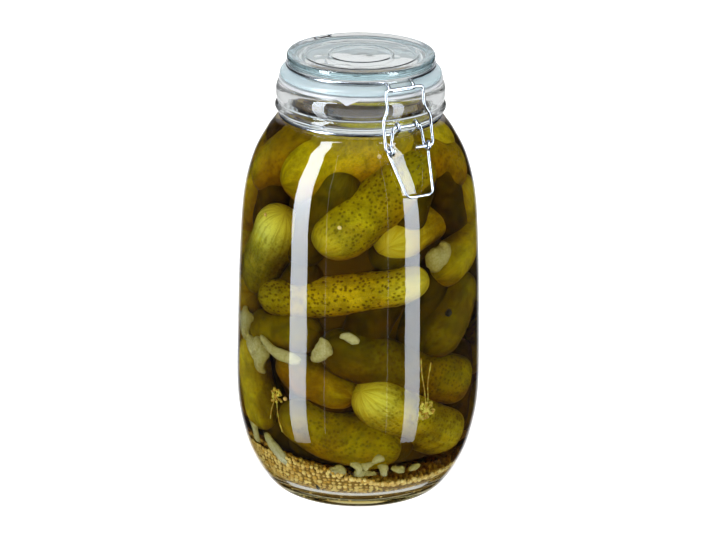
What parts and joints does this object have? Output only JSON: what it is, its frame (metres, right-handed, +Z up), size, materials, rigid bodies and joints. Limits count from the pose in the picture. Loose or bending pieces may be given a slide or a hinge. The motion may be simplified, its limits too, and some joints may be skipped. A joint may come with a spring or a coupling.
{
  "type": "clip-top canning jar of pickled gherkins",
  "caption": "Round clip-top glass jar, shut, full of pickled gherkins on a bed of mustard seeds, with a hinged glass lid, sealing ring and wire lever clasp.",
  "frame": {"origin": "centre of the jar's foot, on the surface it stands on", "axes": "+Z up along the jar's axis, -Y towards the clasp, +Y towards the lid's hinge"},
  "size_m": [0.1464, 0.1464, 0.2702],
  "materials": {
    "clear_glass": "clear polished glass",
    "lid_glass": "clear pressed glass, faintly blue-green",
    "clear_silicone": "translucent white silicone",
    "galvanised_wire": "bright zinc-plated wire",
    "pickled_skin": "wet olive green skin with dark specks",
    "mustard_grain": "tan mustard grains with pale onion"
  },
  "bodies": {
    "jar": {"jar_glass": "clear_glass", "neck_wire": "galvanised_wire", "gherkins": "pickled_skin", "mustard_seeds": "mustard_grain"},
    "lid": {"lid_glass": "lid_glass", "seal": "clear_silicone", "lid_wire": "galvanised_wire"},
    "lever": {"clasp_lever": "galvanised_wire"},
    "link": {"clasp_link": "galvanised_wire"}
  },
  "joints": [
    {"name": "lid_hinge", "type": "hinge", "parent": "jar", "child": "lid", "pos_m": [0, 0.0544, 0.2375], "axis": [-1, 0, 0], "range_deg": [0, 150]},
    {"name": "lever_pivot", "type": "hinge", "parent": "jar", "child": "lever", "pos_m": [0, -0.0542, 0.2395], "axis": [-1, 0, 0], "range_deg": [0, 105]},
    {"name": "link_pivot", "type": "hinge", "parent": "lever", "child": "link", "pos_m": [0, -0.0579, 0.227], "axis": [1, 0, 0], "range_deg": [0, 252]}
  ],
  "couplings": [
    {"joint": "lever_pivot", "follows": "lid_hinge", "ratio": 0.7},
    {"joint": "link_pivot", "follows": "lid_hinge", "ratio": 1.68}
  ]
}
